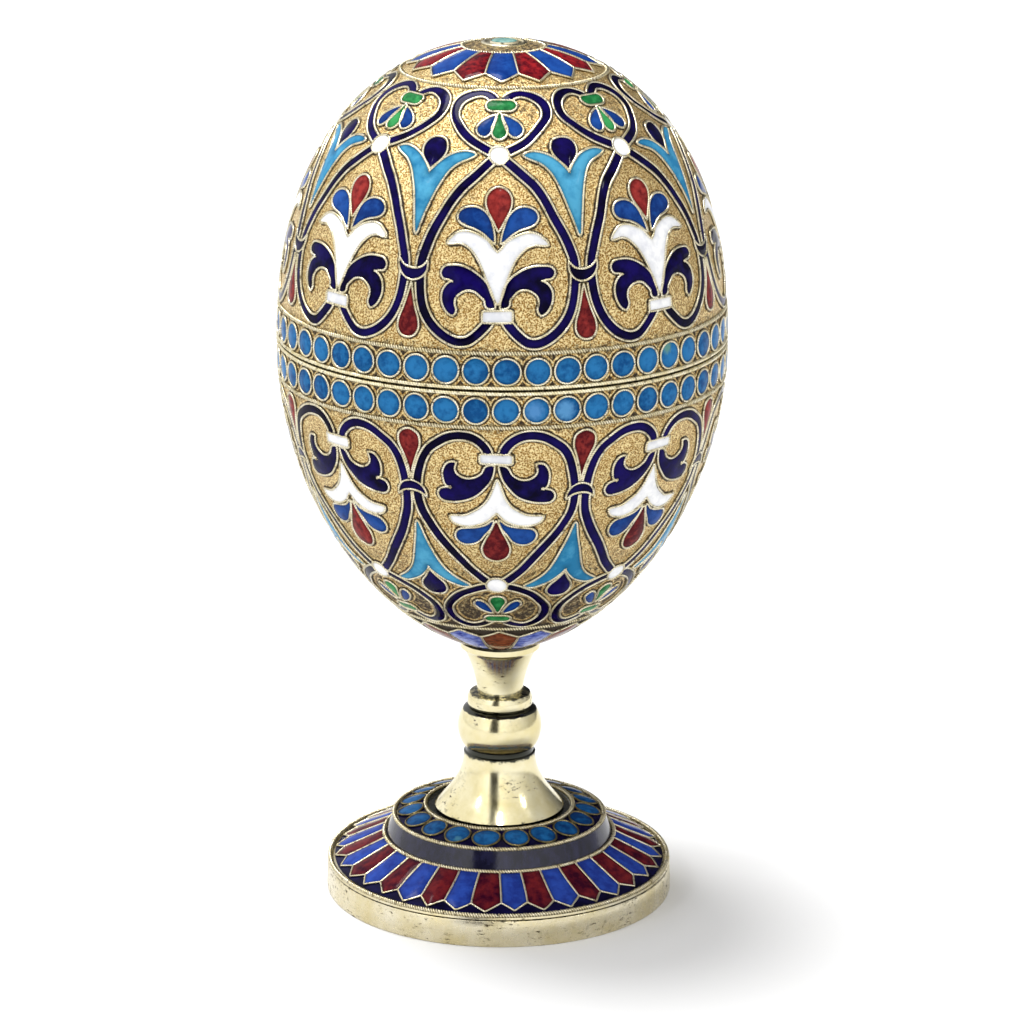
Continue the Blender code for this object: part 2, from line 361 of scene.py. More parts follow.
def evenly(points, spacing, least=1):
    """Points at even steps along a line, near a spacing in mm, in at least so many steps."""
    walked = np.concatenate([[0.0], np.cumsum(np.linalg.norm(np.diff(points, axis=0), axis=1))])
    stops = np.linspace(0.0, walked[-1], max(least, round(walked[-1] / spacing)) + 1)
    return np.stack([np.interp(stops, walked, points[:, k]) for k in (0, 1)], axis=1)


def leftward(way):
    """Unit lengths square to each direction, on its left."""
    left = np.stack([-way[:, 1], way[:, 0]], axis=1)
    return left / np.maximum(np.linalg.norm(left, axis=1, keepdims=True), 1e-9)


def around(outline):
    """The direction that a closed outline takes at each of its points."""
    return np.roll(outline, -1, axis=0) - np.roll(outline, 1, axis=0)


def smooth(points, spacing=0.25):
    """A line through given points, smooth and evenly spaced, in mm. Two points give a straight one."""
    points = np.array(points, float)
    if len(points) > 2:
        span = np.linalg.norm(np.diff(points, axis=0), axis=1)[:, None]
        slope = np.diff(points, axis=0) / span
        inner = (slope[1:] * span[:-1] + slope[:-1] * span[1:]) / (span[1:] + span[:-1])
        ends = 1.5 * slope[[0, -1]] - 0.5 * inner[[0, -1]]
        tangent = np.vstack([ends[:1], inner, ends[1:]])
        t = np.linspace(0.0, 1.0, 10)[:-1, None]
        runs = []
        for a, b, ta, tb, length in zip(points, points[1:], tangent, tangent[1:], span):
            lean = (t**3 - 2 * t**2 + t) * ta * length + (t**3 - t**2) * tb * length
            runs.append((2 * t**3 - 3 * t**2 + 1) * a + (3 * t**2 - 2 * t**3) * b + lean)
        points = np.vstack(runs + [points[-1:]])
    return evenly(points, spacing)


def closed(*runs):
    """A closed outline of smooth runs, with a corner where one run ends and the next begins."""
    return np.vstack([smooth(run)[:-1] for run in runs])


def mirrored(points):
    """The same points on the other side of the axis, in the opposite order."""
    return [(-x, y) for x, y in reversed(points)]


def symmetric(*runs):
    """A closed outline from the runs of its right half, which start and end on the axis."""
    return closed(*runs, *[mirrored(run) for run in reversed(runs)])


def drop(half):
    """A closed drop: its right half runs from the tip to the round end, both on the axis."""
    return closed(list(half) + mirrored(half)[1:])


def disc(x, y, radius, count=30):
    angle = np.arange(count) * math.tau / count
    return np.stack([x + radius * np.cos(angle), y + radius * np.sin(angle)], axis=1)


def bar(x, y, length, width, corner=1.0):
    """A bar with round ends. corner is the ends' rounding as a share of half the width."""
    round_off = corner * width / 2
    points = []
    for quarter, (sx, sy) in enumerate(((1, 1), (-1, 1), (-1, -1), (1, -1))):
        centre = (x + sx * (length / 2 - round_off), y + sy * (width / 2 - round_off))
        for k in range(6):
            angle = math.radians(90) * (quarter + k / 5)
            points.append((centre[0] + round_off * math.cos(angle), centre[1] + round_off * math.sin(angle)))
    points.append(points[0])
    return evenly(np.array(points, float), 0.25, 8)[:-1]


def grown(outline, by=0.2):
    """A closed outline moved outwards all round."""
    outline = anticlockwise(np.asarray(outline))
    return outline - by * leftward(around(outline))


def anticlockwise(outline):
    x, y = outline.T
    area = np.sum(x * np.roll(y, -1) - y * np.roll(x, -1))
    return outline if area > 0 else outline[::-1]


def inside(points, outline):
    """Which of the points lie within a closed outline."""
    x, y = points[:, :1], points[:, 1:]
    x0, y0 = outline.T
    x1, y1 = np.roll(outline, -1, axis=0).T
    rise = np.where(y1 == y0, 1e-12, y1 - y0)
    crossed = ((y0 > y) != (y1 > y)) & (x < x0 + (y - y0) * (x1 - x0) / rise)
    return np.count_nonzero(crossed, axis=1) % 2 == 1


def from_wall(points, outline):
    """Each point's distance from a closed outline."""
    edge = np.roll(outline, -1, axis=0) - outline
    arm = points[:, None] - outline[None]
    share = np.clip((arm * edge).sum(-1) / np.maximum((edge**2).sum(-1), 1e-12), 0.0, 1.0)
    return np.linalg.norm(arm - share[..., None] * edge, axis=-1).min(axis=1)


def facing_up(points, faces):
    """Triangles with their corners anticlockwise."""
    a, b, c = (points[faces[:, k]] for k in range(3))
    turn = (b - a)[:, 0] * (c - a)[:, 1] - (b - a)[:, 1] * (c - a)[:, 0]
    return np.where(turn[:, None] > 0, faces, faces[:, ::-1])


def filled(outline):
    """A cell's surface as triangles, closer together by the wall: points, triangles and distance from the
    wall."""
    inward = leftward(around(outline))
    rings = [outline]
    for depth, every in ((EDGE_RING, 1), (0.45, 2)):
        ring = (outline + depth * inward)[::every]
        rings.append(ring[inside(ring, outline) & (from_wall(ring, outline) > 0.85 * depth)])
    low, high = outline.min(axis=0), outline.max(axis=0)
    across, up = np.meshgrid(np.arange(low[0], high[0], 0.6), np.arange(low[1], high[1], 0.52))
    across[1::2] += 0.3
    middle = np.stack([across.ravel(), up.ravel()], axis=1)
    middle = middle[inside(middle, outline)]
    rings.append(middle[from_wall(middle, outline) > 0.65] if len(middle) else middle)
    points = [Vector(point) for point in np.vstack(rings).tolist()]
    made = delaunay_2d_cdt(points, [], [list(range(len(outline)))], 1, 1e-6)
    points, faces = np.array([tuple(v) for v in made[0]]), np.array([list(f) for f in made[2]])
    return points, facing_up(points, faces), from_wall(points, outline)


def strip(line, half):
    """A strap's surface, as filled() gives a cell's."""
    left = leftward(np.gradient(line, axis=0))
    offsets = np.array([-half, EDGE_RING - half, 0.0, half - EDGE_RING, half])
    points = (line[:, None] + offsets[None, :, None] * left[:, None]).reshape(-1, 2)
    rows, columns = np.meshgrid(np.arange(len(line) - 1), np.arange(4), indexing="ij")
    corner = (rows * 5 + columns).ravel()
    quads = np.stack([corner, corner + 5, corner + 6, corner + 1], axis=1)
    faces = np.vstack([quads[:, :3], quads[:, [0, 2, 3]]])
    wall = np.tile(half - np.abs(offsets), len(line))
    return points, facing_up(points, faces), wall


class Pattern:
    """One repeat of cloisons and enamel. It is drawn in mm, across from an axis and away from a line on a
    skin, and a cell set over others cuts away what runs beneath it."""

    def __init__(self, skin, start=0.0, up=1):
        self.skin, self.start, self.up = skin, start, up
        self.cells, self.lines, self.covers = [], [], []

    def down(self, points):
        """From the drawing to lengths across and up the skin."""
        points = np.array(points, float)
        return np.stack([points[:, 0], self.start + self.up * points[:, 1]], axis=1)

    def cell(self, glass, outline, turn=0.0, over=False, wired=True):
        """A walled cell. turn sets its axis aside from the repeat's own."""
        outline = anticlockwise(self.down(outline))
        self.cells.append((glass, turn, over, filled(outline)))
        if wired:
            self.lines.append((turn, over, -1, np.vstack([outline, outline[:1]])))
        if over:
            self.covers += [(side * turn, outline) for side in ((1, -1) if turn else (1,))]

    def pair(self, glass, outline, turn=0.0, over=False):
        """A cell and its mirror image."""
        self.cell(glass, outline, turn, over)
        self.cell(glass, np.asarray(outline) * (-1, 1), turn, over)

    def straps(self, glass, line, half):
        """A strap between two wires, and its mirror image."""
        for side in (1, -1):
            path = self.down(smooth(line, 0.3) * (side, 1))
            self.cells.append((glass, 0.0, False, strip(path, half)))
            left = leftward(np.gradient(path, axis=0))
            for edge in (1, -1):
                self.lines.append((0.0, False, edge, path + edge * half * left))

    def wire(self, line, turn=0.0):
        """A wire on its own."""
        self.lines.append((turn, False, 0, self.down(smooth(line))))

    def petal(self, glass, turn, tip, shoulder, root):
        """A pointed petal from its tip to its shoulder and root, each (half width, length), and its wires."""
        point = [(0.0, tip), shoulder]
        side = [shoulder, root]
        self.cell(glass, symmetric(point, side, [root, (0.0, root[1])]), turn, wired=False)
        self.wire(point, turn)
        self.wire(mirrored(point), turn)
        self.wire(side, turn)

    def hidden(self, turn, points):
        """Which points lie under a cell that is set over them."""
        found = np.zeros(len(points), bool)
        for cover_turn, outline in self.covers:
            shift = self.skin.radius_at(points[:, 1]) * (turn - cover_turn)
            found |= inside(points + np.stack([shift, 0 * shift], axis=1), outline)
        return found

    def lay(self, count, first, radius, seed, unsteady=1.0):
        """Set the repeats round Z, with the wires' tops at the skin's lift 0. It returns each glass's shape,
        the wires' paths, and the solder beside them, painted dark with dirt and shade."""
        rng = np.random.default_rng(seed)
        glasses, paths, seams = {}, [], []
        for repeat in range(count):
            axis = first + repeat * math.tau / count
            for glass, turn, over, (points, faces, wall) in self.cells:
                if self.covers and not over:
                    faces = faces[~self.hidden(turn, points[faces].mean(axis=1))]
                inward = np.maximum(wall - radius, 0.0)
                swell = SWELL * (1.0 - (1.0 - np.minimum(inward / SWELL_REACH, 1.0)) ** 2)
                angle, along = self.settled(axis + turn, points, unsteady)
                laid = self.skin.at(angle, along, swell - ENAMEL_BELOW_WIRE)
                shade = np.full(len(points), rng.random())
                marks = {"wall": np.exp(-inward / WALL_REACH), "shade": shade}
                glasses.setdefault(glass, []).append((laid, faces, marks))
            for turn, over, side, line in self.lines:
                for run in self.shown(turn, over, line):
                    angle, along = self.settled(axis + turn, run, unsteady)
                    paths.append(self.skin.at(angle, along, -radius - UNDER_OUTLINE))
                    if side:
                        seams.append(self.seam(axis + turn, run, side, unsteady))
        return {glass: joined(shapes) for glass, shapes in glasses.items()}, paths, seams

    def shown(self, turn, over, line):
        """The stretches of a wire that no cell covers."""
        if over or not self.covers:
            return [line]
        bare = ~self.hidden(turn, line)
        cuts = np.flatnonzero(np.diff(bare.astype(int))) + 1
        runs = np.split(line, cuts)
        return [run for run, first in zip(runs, np.split(bare, cuts)) if first[0] and len(run) > 2]

    def settled(self, axis, points, unsteady):
        """Angles and lengths on the skin, with the slight unsteadiness of work set by hand."""
        across, along = points[:, 0], points[:, 1]
        angle = axis + across / self.skin.radius_at(along)
        sway = 0.07 * np.sin(5 * angle + 0.35 * along) + 0.05 * np.sin(11 * angle - 0.6 * along + 2.0)
        sway += 0.05 * np.sin(23 * angle + 0.2 * along + 1.0)
        rise = 0.07 * np.sin(6 * angle - 0.4 * along + 1.0) + 0.05 * np.sin(13 * angle + 0.5 * along)
        return angle + unsteady * sway / self.skin.radius_at(along), along + unsteady * rise

    def seam(self, axis, run, side, unsteady):
        """Solder beside a wire, falling to just under the ground, painted dark in the corner with dirt and
        shade.
        """
        outer = run + side * SEAM_WIDTH * leftward(np.gradient(run, axis=0))
        count = len(run)
        angle, along = self.settled(axis, np.vstack([run, outer]), unsteady)
        lift = np.repeat([SEAM_TOP - RELIEF, -SEAM_TOE - RELIEF], count)
        k = np.arange(count - 1)
        quads = np.stack([k, k + 1, k + 1 + count, k + count], axis=1)
        quads = quads[:, ::-1] if side > 0 else quads
        marks = {"dirt": np.repeat([SEAM_DIRT_AND_SHADE, 0.0], count), "matted": np.repeat([0.2, 1.0], count)}
        return self.skin.at(angle, along, lift), quads[:, ::-1], marks



def twisted_wire_tree():
    """Geometry nodes that draw a strand along each path and twist it, as a wire is twisted for filigree."""
    tree = bpy.data.node_groups.new("twisted wire", "GeometryNodeTree")
    sockets = tree.interface
    sockets.new_socket("Paths", in_out="INPUT", socket_type="NodeSocketGeometry")
    for label in ("Radius", "Flatness", "Spacing", "Twist"):
        sockets.new_socket(label, in_out="INPUT", socket_type="NodeSocketFloat")
    sockets.new_socket("Sides", in_out="INPUT", socket_type="NodeSocketInt")
    sockets.new_socket("Material", in_out="INPUT", socket_type="NodeSocketMaterial")
    sockets.new_socket("Wire", in_out="OUTPUT", socket_type="NodeSocketGeometry")
    given = add(tree, "NodeGroupInput").outputs
    curve = add(tree, "GeometryNodeMeshToCurve", {"Mesh": given["Paths"]}).outputs[0]
    even = {"Curve": curve, "Length": given["Spacing"]}
    curve = add(tree, "GeometryNodeResampleCurve", even, mode="LENGTH").outputs[0]
    walked = add(tree, "GeometryNodeSplineParameter").outputs["Length"]
    turn = calc("MULTIPLY", walked, given["Twist"])
    curve = add(tree, "GeometryNodeSetCurveTilt", {"Curve": curve, "Tilt": turn}).outputs[0]
    ring = {"Resolution": given["Sides"], "Radius": given["Radius"]}
    strand = add(tree, "GeometryNodeCurvePrimitiveCircle", ring).outputs[0]
    flat = add(tree, "ShaderNodeCombineXYZ", {"X": 1.0, "Y": given["Flatness"], "Z": 1.0}).outputs[0]
    strand = add(tree, "GeometryNodeTransform", {"Geometry": strand, "Scale": flat}).outputs[0]
    place = add(tree, "GeometryNodeInputPosition").outputs[0]
    reach = add(tree, "ShaderNodeVectorMath", {0: place}, operation="LENGTH").outputs["Value"]
    crest = calc("DIVIDE", reach, given["Radius"])
    marked = {"Geometry": strand, "Name": "crest", "Value": crest}
    kept_as = {"data_type": "FLOAT", "domain": "POINT"}
    strand = add(tree, "GeometryNodeStoreNamedAttribute", marked, **kept_as).outputs[0]
    swept = {"Curve": curve, "Profile Curve": strand, "Fill Caps": True}
    wire = add(tree, "GeometryNodeCurveToMesh", swept).outputs[0]
    wire = add(tree, "GeometryNodeSetShadeSmooth", {"Geometry": wire}).outputs[0]
    wire = add(tree, "GeometryNodeRealizeInstances", {"Geometry": wire}).outputs[0]
    wire = add(tree, "GeometryNodeSetMaterial", {"Geometry": wire, "Material": given["Material"]}).outputs[0]
    add(tree, "NodeGroupOutput", {"Wire": wire})
    return tree


WIRE_TREE = twisted_wire_tree()


def twisted(name, paths, material, slot, radius, flatness, spacing, turn, sides):
    """Wires along paths. turn is the twist from one ring of the strand to the next, in radians."""
    points, edges, count = [], [], 0
    for path in paths:
        is_loop = np.linalg.norm(path[0] - path[-1]) < 1e-6
        size = len(path) - 1 if is_loop else len(path)
        k = np.arange(size if is_loop else size - 1)
        edges.append(np.stack([k, (k + 1) % size], axis=1) + count)
        points.append(path[:size])
        count += size
    mesh = bpy.data.meshes.new(name + "_paths")
    mesh.from_pydata(np.vstack(points).tolist(), np.vstack(edges).tolist(), [])
    guide = put(name + "_paths", mesh)
    modifier = guide.modifiers.new("twisted wire", "NODES")
    modifier.node_group = WIRE_TREE
    values = {
        "Radius": radius * MM,
        "Flatness": flatness,
        "Spacing": spacing * MM,
        "Twist": turn / (spacing * MM),
        "Sides": sides,
        "Material": material,
    }
    for item in WIRE_TREE.interface.items_tree:
        if item.name in values:
            modifier[item.identifier] = values[item.name]
    evaluated = guide.evaluated_get(bpy.context.evaluated_depsgraph_get())
    wire = bpy.data.meshes.new_from_object(evaluated)
    wire.name = name
    bpy.data.objects.remove(guide)
    made = put(name, wire)
    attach(made, "root")


def twisted_gilt(name, dull, pale, groove, depth):
    """Fine gilt wire, twisted and flattened by burnishing: pale where it is rubbed, with painted shade in the
    groove colour between its turns, as strong as depth."""
    material, tree, shader, place = new_material(name)
    tone = between(grain(place, 1.1, 3.0, 0.6), 0.3, 0.7)
    metal = blend(tone, srgb(dull), srgb(pale))
    soil = between(grain(place, 0.5, 2.0), 0.58, 0.7, 0.0, 0.8)
    soiled = blend(soil, metal, srgb("#4E3F24"))
    # Painted shade: the strand's waists between its turns take the groove colour, so its crests stand out as
    # beads.
    painted_groove_shade = between(mark(tree, "crest"), 0.92, 0.62, 0.0, depth)
    feed(shader, {
        "Base Color": blend(painted_groove_shade, soiled, srgb(groove)),
        "Metallic": 1.0,
        "Roughness": between(tone, 0.0, 1.0, 0.38, 0.24),
    })
    return material


# The cloisons are pale on their tops, with painted shade between their turns; those of the foot's discs are
# brown with tarnish, and the ropes are the brightest, with the darkest painted shade between their turns.
gilt_wire = twisted_gilt("silver gilt wire, twisted", "#D8CB9E", "#FBF5E0", "#55431F", 0.85)
dull_wire = twisted_gilt("silver gilt wire, twisted, tarnished", "#4E452C", "#A89A6C", "#2A2212", 0.7)
gilt_rope = twisted_gilt("silver gilt rope, of two wires", "#E2D4A2", "#FFF8DE", "#4E3A18", 0.95)
CLOISON = {"radius": 0.19, "flatness": 0.72, "spacing": 0.15, "turn": math.radians(90), "sides": 4}
FINE = {**CLOISON, "radius": 0.165}
ROPE = {"radius": 0.33, "flatness": 0.58, "spacing": 0.14, "turn": math.radians(74), "sides": 6}
RIM_ROPE = {**ROPE, "radius": 0.3, "flatness": 0.76}

cone_top = Skin([(CONE_FOOT[0], CONE_FOOT[1] + RELIEF), (CONE_HEAD[0], CONE_HEAD[1] + RELIEF)])
cone_length = cone_top.along[-1]
petals = Pattern(cone_top)
shoulder, root = (
    (math.pi / PETALS * cone_top.radius_at(along), along)
    for along in (PETAL_TIP + PETAL_SHOULDER, cone_length)
)
petals.petal("blue", 0.0, PETAL_TIP, shoulder, root)
petals.petal("red", math.tau / PETALS, PETAL_TIP, shoulder, root)
petal_glass, petal_paths, _ = petals.lay(PETALS // 2, PETAL_AXIS, FINE["radius"], seed=11, unsteady=1.4)
petal_blue = enamel("cornflower blue enamel", "#1C2E78", "#28459A", 1.4, roughness=0.16, unlike=0.3)
petal_red = enamel("deep red enamel over foil", "#2E061A", "#661C20", 1.2, 0.12, 0.5, unlike=0.3)
piece("foot_blue_petals", petal_glass["blue"], petal_blue)
piece("foot_red_petals", petal_glass["red"], petal_red)
twisted("foot_petal_wires", petal_paths, gilt_wire, "foot_gilt", **FINE)

# The ring of discs on the foot's top: mid blue glass in round cells of wire, on the dark ground, with a
# rope of twisted wire outside and inside them. Two more ropes edge the step's foot and the rim.
DISCS_ON_FOOT = 19
FOOT_DISC_AXIS = math.radians(-8.1)
dial_top = Skin([(TOP_EDGE[0], TOP_EDGE[1] + RELIEF), (TOP_INNER[0], TOP_INNER[1] + RELIEF)])
dial_discs = Pattern(dial_top)
dial_discs.cell("blue", disc(0.0, dial_top.along[-1] * 0.5, 1.66, 26))
disc_glass, disc_paths, _ = dial_discs.lay(DISCS_ON_FOOT, FOOT_DISC_AXIS, FINE["radius"], seed=5)
chipped = [((-5.1, -11.1, 10.1), 0.6, "#3E6E86")]
disc_blue = enamel("mid blue enamel of the discs", "#0A2E5C", "#1C5A90", 1.3, roughness=0.16, spots=chipped)
piece("foot_discs", disc_glass["blue"], disc_blue)
twisted("foot_disc_wires", disc_paths, dull_wire, "foot_gilt", **FINE)


def ring(radius, height, count=200):
    """A closed path round Z, in metres."""
    angle = np.linspace(0.0, math.tau, count + 1)
    angle[-1] = 0.0
    return np.stack([radius * np.sin(angle), -radius * np.cos(angle), 0 * angle + height], axis=-1) * MM


foot_ropes = [
    ring(FOOT_RADIUS - 0.42, RIM_HEIGHT),
    ring(CONE_HEAD[0] - 0.27, CONE_HEAD[1] + 0.22),
    ring(STEP_HEAD[0] - 0.12, STEP_HEAD[1] + 0.2),
    ring(TOP_INNER[0] - 0.3, FOOT_TOP - ROPE["radius"] - 0.02),
]
twisted("foot_ropes", foot_ropes, gilt_rope, "foot_gilt", **ROPE)


# The stem: one solid turning of silver, polished and gilded, with a trumpet foot, a groove, a round knop, a
# collar, and a neck that opens into the cup under the egg. Black dirt lies in its groove, and its other
# creases are painted darker.
stem_low, stem_high = (corner.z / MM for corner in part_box("stem"))
FLARE_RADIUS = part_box("stem")[1].x / MM
FLARE_HEIGHT = 7.2
SHANK_RADIUS = 4.55
GROOVE_HEIGHT = 0.9
GROOVE_DEPTH = 0.25
KNOP_HEIGHT = 4.9
KNOP_RADIUS = 5.33
COLLAR_HEIGHT = 2.15
COLLAR_RADIUS = 4.12
NECK_RADIUS = 2.9
CUP_RADIUS = 5.05
CUP_LIP = 0.4


def stem_profile():
    """Radius, height and how dark it is painted up the stem; radius and height in mm."""
    rows = [(0.0, stem_low, 0.0)]
    for k in range(25):
        share = k / 24
        spread = (1.0 - math.sin(share * math.pi / 2)) ** 1.15
        radius = SHANK_RADIUS + (FLARE_RADIUS - SHANK_RADIUS) * spread
        dirt = {0: 0.4, 1: 0.3, 22: 0.26, 23: 0.42, 24: 0.55}.get(k, 0.0)
        rows.append((radius, stem_low + FLARE_HEIGHT * share, dirt))
    groove = stem_low + FLARE_HEIGHT
    for share, depth, dirt in ((0.2, 0.9, 1.0), (0.5, 1.0, 1.0), (0.8, 0.9, 1.0)):
        rows.append((SHANK_RADIUS - GROOVE_DEPTH * depth, groove + GROOVE_HEIGHT * share, dirt))
    knop = groove + GROOVE_HEIGHT
    for k in range(25):
        share = k / 24
        radius = SHANK_RADIUS + (KNOP_RADIUS - SHANK_RADIUS) * math.sin(math.pi * share) ** 0.8
        dirt = {0: 0.6, 1: 0.35, 21: 0.1, 22: 0.24, 23: 0.42, 24: 0.7}.get(k, 0.0)
        rows.append((radius, knop + KNOP_HEIGHT * share, dirt))
    collar = knop + KNOP_HEIGHT
    crease = COLLAR_RADIUS - 0.3
    for radius, share, dirt in (
        (crease, 0.08, 1.0),
        (COLLAR_RADIUS - 0.12, 0.16, 0.3),
        (COLLAR_RADIUS, 0.3, 0.0),
        (COLLAR_RADIUS, 0.6, 0.0),
        (COLLAR_RADIUS - 0.06, 0.75, 0.26),
        (crease, 0.93, 0.46),
    ):
        rows.append((radius, collar + COLLAR_HEIGHT * share, dirt))
    cup = collar + COLLAR_HEIGHT
    cup_height = stem_high - cup
    for k in range(21):
        share = k / 20
        radius = NECK_RADIUS + (CUP_RADIUS - NECK_RADIUS) * share**1.6
        lip = CUP_LIP if share > 0.86 else 0.0
        rows.append((min(radius + lip, CUP_RADIUS), cup + cup_height * share, 0.5 if k == 0 else 0.0))
    rows.append((CUP_RADIUS * 0.6, stem_high - 0.42, 0.0))
    rows.append((0.0, stem_high - 0.69, 0.0))
    return rows


stem_rows = stem_profile()
stem_shape = turned([row[:2] for row in stem_rows], SEGMENTS, dirt=[row[2] for row in stem_rows])
gilt_stem = polished_gilt("silver gilt, burnished, of the stem", "#D3C694", "#E2DAB8", 0.08, 0.4)
piece("stem_turning", stem_shape, gilt_stem, ["stem"])

# The bowl's shell: the lower half of the egg, raised from thin silver and gilded. Outside, the ground
# between the wires is matted with a punch. Inside it is smooth, and a lip stands up from its rim to hold
# the lid.
EGG_RADIUS = 27.88
EGG_RISE = 38.12
EGG_DROP = 38.93
RISE_POWERS = (2.392, 2.081)
DROP_POWERS = (1.873, 1.787)
EGG_WALL = 0.9
BOWL_RIM = 72.288
LID_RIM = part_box("lid")[0].z / MM
SEAM = (BOWL_RIM + LID_RIM) / 2
WAIST = SEAM - 1.5
LIP_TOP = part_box("bowl")[1].z / MM
LIP_DEPTH = 2.0
LIP_WALL = 0.6
LIP_CLEARANCE = 0.3


def egg_outline(count=3001):
    """The egg's outline over its relief, from the tip to the crown."""
    share = np.sin(np.linspace(-math.pi / 2, math.pi / 2, count))
    radius, height = np.zeros(count), np.zeros(count)
    for upper, reach, (power, root) in ((True, EGG_RISE, RISE_POWERS), (False, EGG_DROP, DROP_POWERS)):
        half = share >= 0.0 if upper else share < 0.0
        size = np.abs(share[half])
        radius[half] = EGG_RADIUS * np.maximum(1.0 - size**power, 0.0) ** (1.0 / root)
        height[half] = WAIST + reach * share[half]
    return np.stack([radius, height], axis=1)


egg = Skin(egg_outline())
egg.lean[0], egg.climb[0] = 1.0, 0.0
egg.lean[-1], egg.climb[-1] = -1.0, 0.0


def up_to_height(height):
    """How far up the egg's skin a height is reached."""
    return float(np.interp(height, egg.height, egg.along))


def up_to_radius(radius, upper):
    """How far up the egg's skin a radius is reached, in the upper or the lower half."""
    half = egg.height > WAIST if upper else egg.height <= WAIST
    order = np.argsort(egg.radius[half])
    return float(np.interp(radius, egg.radius[half][order], egg.along[half][order]))


def section(start, end, rows, inset):
    """Radius and height at even steps along the egg's skin, inset from it."""
    along = np.linspace(start, end, rows)
    radius = egg.radius_at(along) - inset * np.interp(along, egg.along, egg.climb)
    height = np.interp(along, egg.along, egg.height) + inset * np.interp(along, egg.along, egg.lean)
    return [(max(r, 0.0), h) for r, h in zip(radius, height)]


def matted_gilt(name):
    """Silver gilt matted with a fine punch: warm gold grains with painted highlights on their crests and
    painted shade, brown, in their hollows, and near black with dirt and painted shade by the wires and where
    the ground is marked darker."""
    material, tree, shader, place = new_material(name)
    matted = mark(tree, "matted")
    fine = grain(place, 0.12, 3.0, 0.7)
    coarse = between(grain(place, 2.4, 3.0, 0.6), 0.35, 0.65)
    dents = {"Vector": place, "Scale": 1.0 / (0.2 * MM)}
    punched = add(tree, "ShaderNodeTexVoronoi", dents).outputs["Distance"]
    relief = calc("ADD", times(punched, 0.6), fine)
    gold = blend(coarse, srgb("#9A7030"), srgb("#B38A48"))
    # Painted highlight: the crests of the punched grains are lightened.
    painted_crest_highlight = blend(between(relief, 0.74, 0.92), gold, srgb("#E8D6A0"))
    # Painted shade: the punched hollows are browned.
    painted_hollow_shade = times(between(relief, 0.72, 0.58, 0.0, 0.95), matted)
    shaded_gold = blend(painted_hollow_shade, painted_crest_highlight, srgb("#4A3114"))
    dirt = between(calc("ADD", mark(tree, "dirt"), grain(place, 0.6, 5.0, 0.8)), 0.8, 1.0)
    feed(shader, {
        "Base Color": blend(dirt, shaded_gold, srgb("#2C1F10")),
        "Metallic": between(dirt, 0.0, 1.0, 1.0, 0.35),
        "Roughness": between(dirt, 0.0, 1.0, 0.36, 0.7),
        "Normal": bumped(times(relief, matted), 0.9, 0.1),
    })
    return material


gilt_ground = matted_gilt("silver gilt, matted with a punch")
ROSETTE_ROPE = up_to_radius(13.78, upper=False)
LOW_BAND_ROPE = up_to_height(67.91)
bowl_end = up_to_height(BOWL_RIM)
EGG_ROWS = 75
EGG_SEGMENTS = 180
# Painted shade in the gap between lid and bowl: the rims and the outside of the lip are darkened there.
GAP_PAINTED_SHADE = 0.45
lip_level = up_to_height(LIP_TOP)
lip_outside = section(lip_level, lip_level, 1, RELIEF + EGG_WALL)[0][0] - LIP_CLEARANCE
lip_inside = lip_outside - LIP_WALL
bowl_outer = section(0.0, bowl_end, EGG_ROWS, RELIEF)
bowl_outer[0] = (0.0, bowl_outer[0][1])
bowl_outer[-1] = (bowl_outer[-1][0], BOWL_RIM)
lip = [
    (lip_outside, BOWL_RIM),
    (lip_outside, LIP_TOP - 0.1),
    (lip_outside - 0.1, LIP_TOP),
    (lip_inside + 0.1, LIP_TOP),
    (lip_inside, LIP_TOP - 0.1),
    (lip_inside, BOWL_RIM - LIP_DEPTH),
]
bowl_inner = section(up_to_height(BOWL_RIM - LIP_DEPTH) - 1.0, 0.0, 26, RELIEF + EGG_WALL)
bowl_inner[-1] = (0.0, bowl_inner[-1][1])


def soil(start, end):
    """How dark the ground is painted at lengths in mm up the egg's skin, with dirt and painted shade: most in
    the bands and round the rosette under the bowl, and more at the small hearts by the top, darkened there
    against the overhead light.
    """
    stops = (0, 14.5, 16.5, 25, 30, 47.6, 49.2, 51.1, 52.9, 54.0, 55.8, 57.6, 59.2, 80, 88, 99, 100, 106)
    dirty = (
        0.72, 0.72, 0.5, 0.44, 0.28, 0.22, 0.5, 0.36, 0.54,
        0.54, 0.36, 0.5, 0.24, 0.26, 0.34, 0.32, 0.44, 0.44,
    )
    return list(np.interp(np.linspace(start, end, EGG_ROWS), stops, dirty))


smooth_inside = [0.0] * (len(lip) + len(bowl_inner))
bowl_shape = turned(
    bowl_outer + lip + bowl_inner,
    EGG_SEGMENTS,
    dirt=soil(0.0, bowl_end)[:-1] + [GAP_PAINTED_SHADE] * 3 + smooth_inside[2:],
    matted=[1.0] * len(bowl_outer) + smooth_inside,
)
piece("bowl_shell", bowl_shape, gilt_ground, ["bowl"])

# The rosette under the bowl: sixteen pointed petals round the stem, red and blue turn about, between radial
# wires. The glass is thin there and shows the foil beneath it as brown and pale streaks.
PANEL_AXIS = math.radians(-1.2)
REPEATS = 8


def petal_ring(start, shoulder, tip, glasses, spread=0.0):
    """Pointed petals from a start to a tip, as lengths up the skin. spread widens every other one's
    root."""
    made = Pattern(egg)
    pitch = math.pi / REPEATS
    for index, glass in enumerate(glasses):
        turn = index * pitch
        wider = spread if index == 0 else -spread
        root_half = egg.radius_at(start) * (pitch / 2 + wider)
        shoulder_half = egg.radius_at(shoulder) * pitch / 2
        made.petal(glass, turn, tip, (shoulder_half, shoulder), (root_half, start))
    return made


